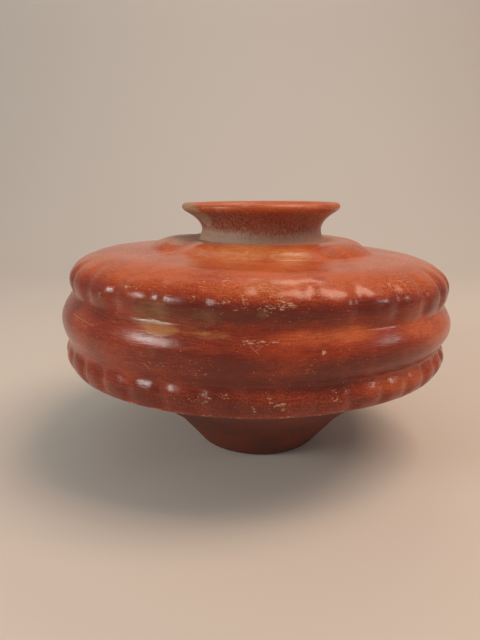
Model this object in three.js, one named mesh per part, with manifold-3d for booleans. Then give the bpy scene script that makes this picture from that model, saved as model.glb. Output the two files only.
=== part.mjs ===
// A water jar of red-slipped earthenware: one hollow piece of fired clay. A small flaring foot carries
// a wide, low body of three rounds of clay, one above the other, the lower and the upper of them lobed.
// A low lobed collar lies on the shoulder around a short neck, whose mouth flares to a thin lip.
// Millimetres, +Z up, the front of the jar towards -Y. The origin is the middle of the flat underside.
import * as THREE from 'three';
import { mergeVertices } from 'three/addons/utils/BufferGeometryUtils.js';
import Module from 'manifold-3d';

// Foot: the flat that the jar stands on, its worn edge, and the ring where it spreads into the body.
const FOOT_RADIUS = 47.6;
const FOOT_EDGE = 1.3;
const FOOT_HEIGHT = 28;
const FOOT_TOP_RADIUS = 71;

// Underside, from the top of the foot out to the sharp edge round the body, and how hollow it runs.
const UNDERSIDE_RISE = 46.6;
const UNDERSIDE_HOLLOW = 4;
const EDGE_RADIUS = 145.2;

// The three rounds of the body and the two grooves between them, from the sharp edge upwards.
const LOWER_ROUND_HEIGHT = 18.4;
const LOWER_ROUND_RADIUS = 149.2;
const LOWER_GROOVE_RADIUS = 145.3;
const MIDDLE_ROUND_HEIGHT = 32.2;
const MIDDLE_ROUND_RADIUS = 151.4;
const UPPER_GROOVE_RADIUS = 143.6;
const UPPER_ROUND_HEIGHT = 30.4;
const UPPER_ROUND_SWELL = 7.2;
const SHOULDER_RADIUS = 118;

// Shape of the rounds: how softly the grooves run out, and how far up the upper round it swells and
// where it turns over, as shares of its height.
const GROOVE_SOFTNESS = 1.05;
const UPPER_ROUND_CREST = 0.47;
const UPPER_ROUND_TURN = 0.86;

// The nearly flat shoulder, the collar on it, the neck and the flaring lip.
const SHOULDER_RISE = 3.1;
const COLLAR_RADIUS = 88;
const COLLAR_RISE = 5.9;
const COLLAR_CROWN_RADIUS = 73.6;
const COLLAR_CROWN = 5.4;
const NECK_RADIUS = 47;
const NECK_FOOT_SPREAD = 1.8;
const NECK_RISE = 8;
const FLARE_RISE = 15.4;
const FLARE_STRAIGHT = 0.55;
const LIP_RADIUS = 62.4;
const LIP_THICKNESS = 5.5;
const LIP_ROUNDING = 1.6;

// Thickness of the wall and of the floor inside the foot.
const WALL = 6.4;
const FLOOR_THICKNESS = 9;

// Lobes: how many go round each part, how deep the creases between them are, and how they are spread.
// The lobes of the upper round are wider on the jar's left side than on its right by LOBE_SPREAD.
const UPPER_LOBES = 30;
const UPPER_LOBE_DEPTH = 2.4;
const LOWER_LOBES = 40;
const LOWER_LOBE_DEPTH = 2.2;
const LOBE_SPREAD = 0.09;
const LOBE_START = THREE.MathUtils.degToRad(1.2);
const CREASE_SHARPNESS = 3;

// The collar has seven uneven lobes. Its creases lie in these directions from the front, to the right if
// positive. Each is this wide on both sides, draws the edge in by the depth and sinks the top.
const COLLAR_CREASES = [-50, -3, 41.5, 88, 139, -170, -120].map(THREE.MathUtils.degToRad);
const COLLAR_CREASE_WIDTH = THREE.MathUtils.degToRad(14);
const COLLAR_CREASE_DEPTH = 5;
const COLLAR_CREASE_SINK = 2;

// Where the creases reach their full depth, as shares of the height of the round or collar they are on.
const ROUND_FADE = 0.25;
const UPPER_FADE = 0.15;
const UPPER_FADE_OUT = 0.72;
const COLLAR_FADE_OUT = 0.4;

// The steps around the outside give each upper lobe four faces, and each lower lobe three. The plain
// inside needs fewer.
const OUTSIDE_STEPS = 4 * UPPER_LOBES;
const INSIDE_STEPS = 36;

// Heights of the rings of the wall, each standing on the one below it.
const edgeHeight = FOOT_HEIGHT + UNDERSIDE_RISE;
const lowerGrooveHeight = edgeHeight + LOWER_ROUND_HEIGHT;
const upperGrooveHeight = lowerGrooveHeight + MIDDLE_ROUND_HEIGHT;
const shoulderHeight = upperGrooveHeight + UPPER_ROUND_HEIGHT;
const collarHeight = shoulderHeight + SHOULDER_RISE;
const neckFootHeight = collarHeight + COLLAR_RISE;
const throatHeight = neckFootHeight + NECK_RISE;
const lipFootHeight = throatHeight + FLARE_RISE;
const lipHeight = lipFootHeight + LIP_THICKNESS / 2;
const topHeight = lipFootHeight + LIP_THICKNESS;

// The jar was built by hand and isn't quite true. Each row says, for the ring at that height, how far
// its middle lies from the foot's along X, and how much its right side and its front stand higher.
const UNEVENNESS = [
  { height: 0, shift: 0, right: 0, front: 0 },
  { height: FOOT_HEIGHT, shift: 0, right: 0, front: 0 },
  { height: edgeHeight, shift: -3.2, right: 0.8, front: 0 },
  { height: lowerGrooveHeight, shift: -4.8, right: -1.2, front: 1 },
  { height: upperGrooveHeight, shift: -1.6, right: -4.8, front: 3 },
  { height: shoulderHeight, shift: 0, right: -3.6, front: 1.5 },
  { height: collarHeight, shift: 1.5, right: -3.4, front: 0 },
  { height: throatHeight, shift: 1.6, right: -1, front: 0 },
  { height: lipHeight, shift: 1, right: 0.5, front: 0 },
];

// Linear blend of one column of UNEVENNESS at a height.
function unevenness(name, height) {
  const above = UNEVENNESS.findIndex((ring) => ring.height > height);
  if (above < 0) return UNEVENNESS.at(-1)[name];
  const [low, high] = [UNEVENNESS[above - 1], UNEVENNESS[above]];
  const share = (height - low.height) / (high.height - low.height);
  return THREE.MathUtils.lerp(low[name], high[name], share);
}

// Rings of the wall as points: radius, height.
const ring = (radius, height) => new THREE.Vector2(radius, height);
const footTop = ring(FOOT_TOP_RADIUS, FOOT_HEIGHT);
const sharpEdge = ring(EDGE_RADIUS, edgeHeight);
const lowerGroove = ring(LOWER_GROOVE_RADIUS, lowerGrooveHeight);
const upperGroove = ring(UPPER_GROOVE_RADIUS, upperGrooveHeight);
const shoulder = ring(SHOULDER_RADIUS, shoulderHeight);
const collarEdge = ring(COLLAR_RADIUS, collarHeight);
const neckFoot = ring(NECK_RADIUS + NECK_FOOT_SPREAD, neckFootHeight);
const throat = ring(NECK_RADIUS, throatHeight);
const lipFoot = ring(LIP_RADIUS - LIP_ROUNDING, lipFootHeight);
const lip = ring(LIP_RADIUS, lipHeight);

// A round of clay between two rings, standing out from the line between them. Its grooves are soft.
function round(low, high, crestRadius, steps) {
  const height = crestRadius - (low.x + high.x) / 2;
  return Array.from({ length: steps }, (_, i) => {
    const share = (i + 1) / steps;
    const point = low.clone().lerp(high, share);
    point.x += height * Math.sin(Math.PI * share) ** GROOVE_SOFTNESS;
    return point;
  });
}

// A curve between two rings that stands out from their chord at its middle, or in if negative.
function swell(low, high, distance) {
  const chord = high.clone().sub(low).normalize();
  const outward = ring(chord.y, -chord.x);
  const control = low.clone().add(high).multiplyScalar(0.5).addScaledVector(outward, 2 * distance);
  return new THREE.QuadraticBezierCurve(low, control, high);
}

// The upper round rises over its groove, turns over and runs in to the shoulder.
function upperRound() {
  const heightAt = (share) => upperGrooveHeight + share * UPPER_ROUND_HEIGHT;
  const crest = ring(UPPER_GROOVE_RADIUS + UPPER_ROUND_SWELL, heightAt(UPPER_ROUND_CREST));
  const turn = ring(UPPER_GROOVE_RADIUS, heightAt(UPPER_ROUND_TURN));
  return new THREE.CubicBezierCurve(upperGroove, crest, turn, shoulder);
}

// The neck curves out from its throat to the underside of the lip.
function flare() {
  const rising = ring(NECK_RADIUS, throatHeight + FLARE_STRAIGHT * FLARE_RISE);
  return new THREE.QuadraticBezierCurve(throat, rising, lipFoot);
}

// The collar rises round from its outer edge and runs in nearly flat to the foot of the neck.
function collar() {
  const crown = ring(COLLAR_CROWN_RADIUS, neckFootHeight + COLLAR_CROWN);
  return new THREE.QuadraticBezierCurve(collarEdge, crown, neckFoot);
}

const underside = swell(footTop, sharpEdge, -UNDERSIDE_HOLLOW);

// Outline of the outside, from the axis of the foot up to the lip and back to the axis.
function outsideOutline() {
  const points = [ring(0, 0), ring(FOOT_RADIUS, 0), ring(FOOT_RADIUS + FOOT_EDGE, FOOT_EDGE)];
  points.push(...underside.getPoints(3).slice(0, -1));
  points.push(sharpEdge, ...round(sharpEdge, lowerGroove, LOWER_ROUND_RADIUS, 5));
  points.push(...round(lowerGroove, upperGroove, MIDDLE_ROUND_RADIUS, 5));
  points.push(...upperRound().getPoints(6).slice(1));
  points.push(collarEdge, ...collar().getPoints(5).slice(1));
  points.push(throat, ...flare().getPoints(3).slice(1), lip);
  points.push(ring(LIP_RADIUS - LIP_ROUNDING, topHeight), ring(0, topHeight));
  return points;
}

// Moves each point of an outline except its first and last inwards by a thickness, with mitred corners.
function setIn(points, thickness) {
  return points.slice(1, -1).map((point, i) => {
    const before = point.clone().sub(points[i]).normalize();
    const after = points[i + 2].clone().sub(point).normalize();
    const inward = ring(-before.y - after.y, before.x + after.x);
    return point.clone().addScaledVector(inward, thickness / (1 + before.dot(after)));
  });
}

// Outline of the hollow inside. It follows the wall at its rings and at the crests of its rounds.
function insideOutline() {
  const spread = (FLOOR_THICKNESS / FOOT_HEIGHT) * (FOOT_TOP_RADIUS - FOOT_RADIUS);
  const floor = [ring(0, FLOOR_THICKNESS), ring(FOOT_RADIUS + spread - WALL, FLOOR_THICKNESS)];
  const [lowerCrest] = round(sharpEdge, lowerGroove, LOWER_ROUND_RADIUS, 2);
  const [middleCrest] = round(lowerGroove, upperGroove, MIDDLE_ROUND_RADIUS, 2);
  const [, turnLow, turnHigh] = upperRound().getPoints(3);
  const wall = [ring(FOOT_RADIUS, 0), footTop, underside.getPoint(0.5), sharpEdge, lowerCrest, lowerGroove];
  wall.push(middleCrest, upperGroove, turnLow, turnHigh, shoulder, collarEdge, neckFoot, throat);
  wall.push(flare().getPoint(0.5), lipFoot, lip);
  const mouth = ring(LIP_RADIUS - LIP_THICKNESS, topHeight);
  const above = [ring(mouth.x, topHeight + LIP_THICKNESS), ring(0, topHeight + LIP_THICKNESS)];
  return [...floor, ...setIn(wall, WALL), mouth, ...above];
}

// How far a lobed round is cut in at a turn of the jar: 0 on the crest of a lobe, 1 in the crease.
const crease = (lobes, turn) => ((1 + Math.cos(lobes * turn)) / 2) ** CREASE_SHARPNESS;

// Weight of a band of lobes at a height: 1 between full heights, fading to 0 at the band's ends.
function band(height, low, fullLow, fullHigh, high) {
  const { smoothstep } = THREE.MathUtils;
  return smoothstep(height, low, fullLow) * (1 - smoothstep(height, fullHigh, high));
}

// How deep the creases of the two lobed rounds are at a height and a turn of the jar.
function roundLobing(height, turn) {
  const fade = ROUND_FADE * LOWER_ROUND_HEIGHT;
  const onLower = band(height, edgeHeight, edgeHeight + fade, lowerGrooveHeight - fade, lowerGrooveHeight);
  const [upperFrom, upperTo] = [UPPER_FADE, UPPER_FADE_OUT]
    .map((share) => upperGrooveHeight + share * UPPER_ROUND_HEIGHT);
  const onUpper = band(height, upperGrooveHeight, upperFrom, upperTo, shoulderHeight);
  return LOWER_LOBE_DEPTH * onLower * crease(LOWER_LOBES, turn)
    + UPPER_LOBE_DEPTH * onUpper * crease(UPPER_LOBES, turn);
}

// The collar's creases: how far they draw the surface in at a height and an angle, and how far they sink
// its top.
function collarLobing(height, angle) {
  const cuts = COLLAR_CREASES.map((direction) => {
    const away = THREE.MathUtils.euclideanModulo(angle + Math.PI / 2 - direction + Math.PI, 2 * Math.PI);
    const share = Math.min(Math.abs(away - Math.PI) / COLLAR_CREASE_WIDTH, 1);
    return Math.cos((Math.PI / 2) * share) ** 2;
  });
  const cut = Math.max(...cuts);
  const fadeOut = collarHeight + COLLAR_FADE_OUT * COLLAR_RISE;
  const inward = band(height, shoulderHeight, collarHeight, fadeOut, neckFootHeight);
  const down = band(height, collarHeight, fadeOut, fadeOut, neckFootHeight);
  return { inward: COLLAR_CREASE_DEPTH * inward * cut, down: COLLAR_CREASE_SINK * down * cut };
}

// Turns an outline round the jar's axis into a solid, with the lobes if it is lobed, and sets each of
// its rings off the true as the clay is.
function turned(outline, steps, lobed, wasm) {
  const geometry = new THREE.LatheGeometry(outline, steps);
  geometry.deleteAttribute('normal');
  geometry.deleteAttribute('uv');
  const place = geometry.attributes.position;
  for (let i = 0; i < place.count; i += 1) {
    const { x: radius, y: height } = outline[i % outline.length];
    const turn = (2 * Math.PI * (Math.floor(i / outline.length) % steps)) / steps;
    const angle = turn + LOBE_START - LOBE_SPREAD * Math.sin(turn);
    const collarCut = lobed ? collarLobing(height, angle) : { inward: 0, down: 0 };
    const reach = radius - collarCut.inward - (lobed ? roundLobing(height, turn) : 0);
    const [x, y] = [reach * Math.cos(angle), reach * Math.sin(angle)];
    const tilt = (unevenness('right', height) * x - unevenness('front', height) * y) / EDGE_RADIUS;
    place.setXYZ(i, x + unevenness('shift', height), y, height + tilt - collarCut.down);
  }
  const merged = mergeVertices(geometry);
  const corners = [...merged.index.array];
  const triangles = [];
  for (let i = 0; i < corners.length; i += 3) {
    const [a, b, c] = corners.slice(i, i + 3);
    if (a !== b && b !== c && c !== a) triangles.push(a, b, c);
  }
  const vertProperties = Float32Array.from(merged.attributes.position.array);
  const triVerts = Uint32Array.from(triangles);
  return new wasm.Manifold(new wasm.Mesh({ numProp: 3, vertProperties, triVerts }));
}

// The jar: the turned and lobed outside, hollowed by the inside, which breaks out through the mouth.
function jarGeometry(wasm) {
  const outside = turned(outsideOutline(), OUTSIDE_STEPS, true, wasm);
  const inside = turned(insideOutline(), INSIDE_STEPS, false, wasm);
  const mesh = outside.subtract(inside).getMesh();
  const geometry = new THREE.BufferGeometry();
  geometry.setAttribute('position', new THREE.BufferAttribute(mesh.vertProperties, mesh.numProp));
  geometry.setIndex(new THREE.BufferAttribute(mesh.triVerts, 1));
  geometry.computeVertexNormals();
  return geometry;
}

const wasm = await Module();
wasm.setup();

const redSlip = new THREE.MeshStandardMaterial({ color: 0x8e3a22, roughness: 0.38, metalness: 0 });
const jar = new THREE.Mesh(jarGeometry(wasm), redSlip);
jar.name = 'water_jar';

const waterJar = new THREE.Group();
waterJar.add(jar);

export default waterJar;
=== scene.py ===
"""The looks of the water jar: its burnished red slip, its lobes and rounds, its wear, and a plain studio.

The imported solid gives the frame. The jar's wall is made again here as one finer mesh from the same sizes,
in the same place, and a geometry tree presses the creases into it. Sizes of the jar are in millimetres
and everything in the scene is in metres. +Z is up, and the front of the jar faces -Y.
"""

from __future__ import annotations

import logging
import math
from dataclasses import dataclass, field
from enum import Enum
from typing import Callable, ClassVar

import bpy
import numpy as np
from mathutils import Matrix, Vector

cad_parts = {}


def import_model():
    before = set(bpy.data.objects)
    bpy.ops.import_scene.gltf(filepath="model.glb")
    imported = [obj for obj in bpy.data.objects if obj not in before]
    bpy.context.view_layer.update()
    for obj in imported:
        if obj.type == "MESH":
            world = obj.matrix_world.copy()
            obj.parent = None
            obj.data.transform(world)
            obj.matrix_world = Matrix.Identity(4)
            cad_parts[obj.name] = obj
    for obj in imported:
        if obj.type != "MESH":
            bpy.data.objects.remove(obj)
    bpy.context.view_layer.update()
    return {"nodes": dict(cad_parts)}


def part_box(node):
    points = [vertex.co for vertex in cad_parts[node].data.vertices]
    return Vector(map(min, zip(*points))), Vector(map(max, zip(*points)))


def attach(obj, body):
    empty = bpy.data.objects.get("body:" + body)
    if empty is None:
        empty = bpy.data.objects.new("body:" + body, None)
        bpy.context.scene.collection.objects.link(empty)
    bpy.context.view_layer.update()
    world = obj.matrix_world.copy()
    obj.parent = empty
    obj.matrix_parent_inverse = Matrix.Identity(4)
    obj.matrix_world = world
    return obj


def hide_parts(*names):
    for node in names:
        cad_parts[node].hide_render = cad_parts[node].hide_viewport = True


LOG = logging.getLogger("water_jar")
MM = 0.001
Colour = tuple[float, float, float]
Point = tuple[float, float]
Noise = tuple[float, float, float]
Grain = tuple[float, float, float, float]
Socket = bpy.types.NodeSocket


class Band(Enum):
    """The bands of the wall that carry creases, by the attribute that holds each one's weight."""

    LOWER = "lower_band"
    UPPER = "upper_band"
    COLLAR_IN = "collar_in_band"
    COLLAR_DOWN = "collar_down_band"


class Mask(Enum):
    """What lies on or shows through the slip, and the painted light and shade in its colour, by the
    attribute that says how much.
    """

    # Dust on the neck, and painted shade at the collar's far left.
    DUST_AND_SHADE = "dust"
    BARE = "bare"
    SMOKE = "smoke"
    OCHRE = "ochre"
    # Warmer, brighter tone: the slip's own orange at the lip, painted light on the shoulder's top and
    # painted reflections on the rounds.
    WARM_AND_PAINTED_LIGHT = "warm_and_painted_light"
    # Painted shade: darker bands across the front of the rounds.
    DARK = "painted_shade"
    WORN = "worn"
    CRUST = "crust"
    SPECKLED = "speckled"
    MATT = "matt"
    INSIDE = "inside"


def smoothstep(low: float, high: float, value: np.ndarray) -> np.ndarray:
    """Smooth rise from 0 at low to 1 at high.

    Args:
        low: Where the rise starts.
        high: Where it ends.
        value: The values to judge.

    Returns:
        The share for each value.
    """
    share = np.clip((value - low) / (high - low), 0.0, 1.0)
    return share * share * (3 - 2 * share)


def band_weight(
    height: np.ndarray, low: float, full_low: float, full_high: float, high: float
) -> np.ndarray:
    """Weight of a band of creases, 1 between its full heights and fading to 0 at its ends.

    Args:
        height: The heights to judge.
        low: Lower end of the band.
        full_low: Where its full depth starts.
        full_high: Where its full depth ends.
        high: Upper end of the band.

    Returns:
        The weights.
    """
    return smoothstep(low, full_low, height) * (1 - smoothstep(full_high, high, height))


@dataclass(frozen=True)
class Ring:
    """A ring of the wall and how far the clay is off the true there.

    shift is how far its middle lies from the foot's along X; right and front say how much higher the
    ring stands on those sides at the radius of the sharp edge.
    """

    height: float
    shift: float
    right: float
    front: float


@dataclass
class JarShape:
    """The sizes of the jar's wall, in millimetres and radians.

    They are the solid's own, apart from the collar's creases, which are a little wider here, differ in
    strength and run out over the shoulder. Each of those is a direction from the front in degrees, and
    its strength.
    """

    foot_radius: float = 47.6
    foot_edge: float = 1.3
    foot_height: float = 28.0
    foot_top_radius: float = 71.0
    underside_rise: float = 46.6
    underside_hollow: float = 4.0
    edge_radius: float = 145.2
    lower_round_height: float = 18.4
    lower_round_radius: float = 149.2
    lower_groove_radius: float = 145.3
    middle_round_height: float = 32.2
    middle_round_radius: float = 151.4
    upper_groove_radius: float = 143.6
    upper_round_height: float = 30.4
    upper_round_swell: float = 7.2
    upper_round_crest: float = 0.47
    upper_round_turn: float = 0.86
    groove_softness: float = 1.05
    shoulder_radius: float = 118.0
    shoulder_rise: float = 3.1
    collar_radius: float = 88.0
    collar_rise: float = 5.9
    collar_crown_radius: float = 73.6
    collar_crown: float = 5.4
    neck_radius: float = 47.0
    neck_foot_spread: float = 1.8
    neck_rise: float = 8.0
    flare_rise: float = 15.4
    flare_straight: float = 0.55
    lip_radius: float = 62.4
    lip_thickness: float = 5.5
    lip_rounding: float = 1.6
    wall: float = 6.4
    floor_thickness: float = 9.0
    upper_lobes: int = 30
    upper_lobe_depth: float = 2.4
    lower_lobes: int = 40
    lower_lobe_depth: float = 2.2
    lobe_spread: float = 0.09
    lobe_start: float = math.radians(1.2)
    crease_sharpness: float = 3.0
    collar_creases: tuple[Point, ...] = (
        (-50, 1.0), (-3, 0.5), (41.5, 0.45), (88, 1.0), (139, 0.9), (-170, 0.8), (-120, 1.0)
    )
    collar_crease_width: float = 16.0
    collar_crease_depth: float = 5.0
    collar_crease_sink: float = 2.0
    round_fade: float = 0.25
    upper_fade: float = 0.15
    upper_fade_out: float = 0.72
    collar_fade_reach: float = 24.0
    collar_full_reach: float = 2.0
    collar_step: float = 1.0

    @property
    def edge_height(self) -> float:
        """Height of the sharp edge round the body."""
        return self.foot_height + self.underside_rise

    @property
    def lower_groove_height(self) -> float:
        """Height of the groove over the lower round."""
        return self.edge_height + self.lower_round_height

    @property
    def upper_groove_height(self) -> float:
        """Height of the groove under the upper round."""
        return self.lower_groove_height + self.middle_round_height

    @property
    def shoulder_height(self) -> float:
        """Height where the upper round runs into the shoulder."""
        return self.upper_groove_height + self.upper_round_height

    @property
    def collar_height(self) -> float:
        """Height of the collar's outer edge."""
        return self.shoulder_height + self.shoulder_rise

    @property
    def neck_foot_height(self) -> float:
        """Height where the neck rises from the collar."""
        return self.collar_height + self.collar_rise

    @property
    def throat_height(self) -> float:
        """Height of the narrowest ring of the neck."""
        return self.neck_foot_height + self.neck_rise

    @property
    def lip_foot_height(self) -> float:
        """Height of the underside of the lip's edge."""
        return self.throat_height + self.flare_rise

    @property
    def lip_height(self) -> float:
        """Height of the widest ring of the lip."""
        return self.lip_foot_height + self.lip_thickness / 2

    @property
    def top_height(self) -> float:
        """Height of the top of the lip."""
        return self.lip_foot_height + self.lip_thickness

    def rings(self) -> list[Ring]:
        """The rings between which the clay's unevenness is blended.

        Returns:
            The rings, from the floor up.
        """
        return [
            Ring(0, 0, 0, 0),
            Ring(self.foot_height, 0, 0, 0),
            Ring(self.edge_height, -3.2, 0.8, 0),
            Ring(self.lower_groove_height, -4.8, -1.2, 1),
            Ring(self.upper_groove_height, -1.6, -4.8, 3),
            Ring(self.shoulder_height, 0, -3.6, 1.5),
            Ring(self.collar_height, 1.5, -3.4, 0),
            Ring(self.throat_height, 1.6, -1, 0),
            Ring(self.lip_height, 1, 0.5, 0),
        ]

    @staticmethod
    def bezier(points: list[Point], steps: int) -> np.ndarray:
        """Points along a Bezier curve of any degree.

        Args:
            points: Its control points: radius, height.
            steps: How many stretches to cut it into.

        Returns:
            steps + 1 points.
        """
        share = np.linspace(0, 1, steps + 1)[:, None]
        level = [np.repeat([p], steps + 1, 0) for p in np.array(points, float)]
        while len(level) > 1:
            level = [(1 - share) * a + share * b for a, b in zip(level, level[1:])]
        return level[0]

    def underside(self, steps: int) -> np.ndarray:
        """The hollow-running curve from the top of the foot out to the sharp edge.

        Args:
            steps: How many stretches to cut it into.

        Returns:
            Points along it: radius, height.
        """
        low = np.array([self.foot_top_radius, self.foot_height])
        high = np.array([self.edge_radius, self.edge_height])
        chord = (high - low) / np.linalg.norm(high - low)
        control = (low + high) / 2 - 2 * self.underside_hollow * np.array([chord[1], -chord[0]])
        return self.bezier([tuple(low), tuple(control), tuple(high)], steps)

    def round(self, low: Point, high: Point, crest: float, steps: int) -> np.ndarray:
        """A round of clay between two rings, with soft grooves.

        Args:
            low: The lower ring: radius, height.
            high: The upper ring.
            crest: The radius that it stands out to.
            steps: How many stretches to cut it into.

        Returns:
            Points along it.
        """
        share = np.linspace(0, 1, steps + 1)
        radius = low[0] + (high[0] - low[0]) * share
        radius += (crest - (low[0] + high[0]) / 2) * np.sin(math.pi * share) ** self.groove_softness
        return np.stack([radius, low[1] + (high[1] - low[1]) * share], -1)

    def lower_round(self, steps: int) -> np.ndarray:
        """The lowest round of the body.

        Args:
            steps: How many stretches to cut it into.

        Returns:
            Points along it.
        """
        low = (self.edge_radius, self.edge_height)
        high = (self.lower_groove_radius, self.lower_groove_height)
        return self.round(low, high, self.lower_round_radius, steps)

    def middle_round(self, steps: int) -> np.ndarray:
        """The middle round of the body.

        Args:
            steps: How many stretches to cut it into.

        Returns:
            Points along it.
        """
        low = (self.lower_groove_radius, self.lower_groove_height)
        high = (self.upper_groove_radius, self.upper_groove_height)
        return self.round(low, high, self.middle_round_radius, steps)

    def upper_round(self, steps: int) -> np.ndarray:
        """The upper round, which turns over and runs in to the shoulder.

        Args:
            steps: How many stretches to cut it into.

        Returns:
            Points along it.
        """
        foot, rise = self.upper_groove_height, self.upper_round_height
        return self.bezier(
            [
                (self.upper_groove_radius, foot),
                (self.upper_groove_radius + self.upper_round_swell, foot + self.upper_round_crest * rise),
                (self.upper_groove_radius, foot + self.upper_round_turn * rise),
                (self.shoulder_radius, self.shoulder_height),
            ],
            steps,
        )

    def collar(self, steps: int) -> np.ndarray:
        """The collar, from its outer edge in to the foot of the neck.

        Args:
            steps: How many stretches to cut it into.

        Returns:
            Points along it.
        """
        crown = (self.collar_crown_radius, self.neck_foot_height + self.collar_crown)
        neck_foot = (self.neck_radius + self.neck_foot_spread, self.neck_foot_height)
        return self.bezier([(self.collar_radius, self.collar_height), crown, neck_foot], steps)

    def flare(self, steps: int) -> np.ndarray:
        """The neck's curve from its throat out to the underside of the lip.

        Args:
            steps: How many stretches to cut it into.

        Returns:
            Points along it.
        """
        straight = (self.neck_radius, self.throat_height + self.flare_straight * self.flare_rise)
        lip_foot = (self.lip_radius - self.lip_rounding, self.lip_foot_height)
        return self.bezier([(self.neck_radius, self.throat_height), straight, lip_foot], steps)

    def mouth_radius(self) -> float:
        """Radius of the mouth at the top of the lip."""
        return self.lip_radius - self.lip_thickness

    def outside(self) -> np.ndarray:
        """The outline of the outside, from the middle of the underside to the top of the lip.

        Returns:
            Points: radius, height.
        """
        pieces = [
            [(0, 0), (self.foot_radius, 0), (self.foot_radius + self.foot_edge, self.foot_edge)],
            self.underside(steps=60),
            self.lower_round(steps=60)[1:],
            self.middle_round(steps=80)[1:],
            self.upper_round(steps=80)[1:],
            self.collar(steps=50),
            self.flare(steps=40),
            [(self.lip_radius, self.lip_height), (self.lip_radius - self.lip_rounding, self.top_height)],
        ]
        return np.concatenate([np.array(piece, float) for piece in pieces])

    def inside(self) -> np.ndarray:
        """The outline of the hollow, from the top of the lip down to the middle of its floor.

        Returns:
            Points: radius, height.
        """
        spread = self.floor_thickness / self.foot_height * (self.foot_top_radius - self.foot_radius)
        floor = [(0, self.floor_thickness), (self.foot_radius + spread - self.wall, self.floor_thickness)]
        wall = [
            [(self.foot_radius, 0)],
            self.underside(steps=8),
            self.lower_round(steps=6)[1:],
            self.middle_round(steps=8)[1:],
            self.upper_round(steps=10)[1:],
            self.collar(steps=1),
            self.flare(steps=8),
            [(self.lip_radius, self.lip_height)],
        ]
        points = np.concatenate([np.array(piece, float) for piece in wall])
        before = points[1:-1] - points[:-2]
        after = points[2:] - points[1:-1]
        before /= np.linalg.norm(before, axis=1)[:, None]
        after /= np.linalg.norm(after, axis=1)[:, None]
        inward = np.stack([-before[:, 1] - after[:, 1], before[:, 0] + after[:, 0]], -1)
        set_in = points[1:-1] + inward * (self.wall / (1 + (before * after).sum(1)))[:, None]
        mouth = [(self.mouth_radius(), self.top_height)]
        return np.concatenate([np.array(floor), set_in, np.array(mouth)])[::-1]

    def uneven(self, name: str, height: np.ndarray) -> np.ndarray:
        """One column of the clay's unevenness, shift, right or front, at some heights."""
        rings = self.rings()
        return np.interp(height, [r.height for r in rings], [getattr(r, name) for r in rings])

    def angle(self, turn: np.ndarray) -> np.ndarray:
        """Direction round the axis of a turn of the jar. The lobes are wider on the jar's left."""
        return turn + self.lobe_start - self.lobe_spread * np.sin(turn)

    def collar_cut(self, side: np.ndarray) -> np.ndarray:
        """How far the creases cut into the collar.

        Args:
            side: Directions from the front, in degrees.

        Returns:
            The cut at each, up to 1 in the middle of a crease.
        """
        cuts = []
        for crease, strength in self.collar_creases:
            away = np.abs((side - crease + 180) % 360 - 180)
            share = np.minimum(away / self.collar_crease_width, 1)
            cuts.append(strength * np.cos(math.pi / 2 * share) ** 2)
        return np.max(cuts, axis=0)

    def weights(self, height: np.ndarray, radius: np.ndarray) -> dict[Band, np.ndarray]:
        """How much of its creases each band carries.

        Args:
            height: Heights of places on the wall.
            radius: Their radii.

        Returns:
            The weight of each band at each place.
        """
        fade = self.round_fade * self.lower_round_height
        low, high = self.edge_height, self.lower_groove_height
        groove, shoulder, rise = self.upper_groove_height, self.shoulder_height, self.upper_round_height
        upper = [groove + share * rise for share in (self.upper_fade, self.upper_fade_out)]
        on_top = smoothstep(shoulder - self.collar_step, shoulder, height) * (height < self.throat_height)
        edge, reach = self.collar_radius, self.collar_fade_reach
        drawn_in = 1 - smoothstep(edge, self.shoulder_radius, radius)
        drawn_in *= smoothstep(edge - reach, edge - self.collar_full_reach, radius)
        sunk = np.exp(-(((radius - edge + reach / 2) / (reach / 2)) ** 2))
        return {
            Band.LOWER: band_weight(height, low, low + fade, high - fade, high),
            Band.UPPER: band_weight(height, groove, *upper, shoulder),
            Band.COLLAR_IN: drawn_in * on_top,
            Band.COLLAR_DOWN: sunk * on_top,
        }


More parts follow.
